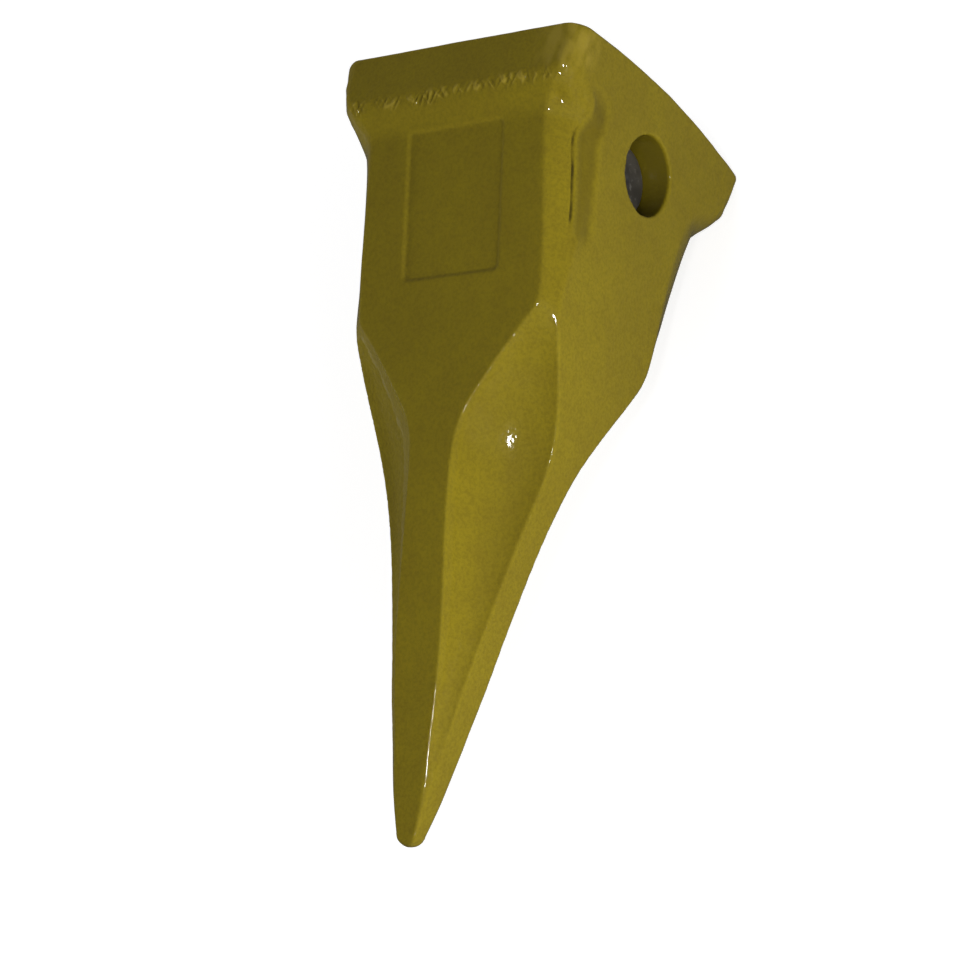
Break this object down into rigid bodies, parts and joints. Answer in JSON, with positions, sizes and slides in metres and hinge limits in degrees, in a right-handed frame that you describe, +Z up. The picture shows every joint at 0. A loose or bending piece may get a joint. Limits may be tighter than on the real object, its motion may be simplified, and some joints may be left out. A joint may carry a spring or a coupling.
{
  "type": "excavator bucket tooth",
  "caption": "Cast steel side-pin bucket tooth: wedge socket box with flared lips, cross-ribbed pointed blade, and a grooved lock pin held by a snap ring in a rubber cushion.",
  "frame": {"origin": "centre of the flat socket floor, where the end of the adapter nose seats", "axes": "+X from the socket floor towards the tip, Y along the lock pin, +Z up through the face with the sunk panel"},
  "size_m": [0.2926, 0.113, 0.12],
  "materials": {
    "dip_paint": "glossy olive-yellow dip paint over an as-cast steel skin",
    "pin_steel": "dark heat-treated steel with an oil-blackened skin",
    "spring_steel": "blued spring steel",
    "rubber": "matt black moulded rubber"
  },
  "bodies": {
    "tooth": {"tooth_casting": "dip_paint", "retainer_ring": "spring_steel", "retainer_cushion": "rubber"},
    "pin": {"lock_pin": "pin_steel"}
  },
  "joints": [
    {"name": "pin_drive_out", "type": "slide", "parent": "tooth", "child": "pin", "axis": [0, 1, 0], "range_m": [0, 0.115], "deforming": ["retainer_ring"]}
  ]
}
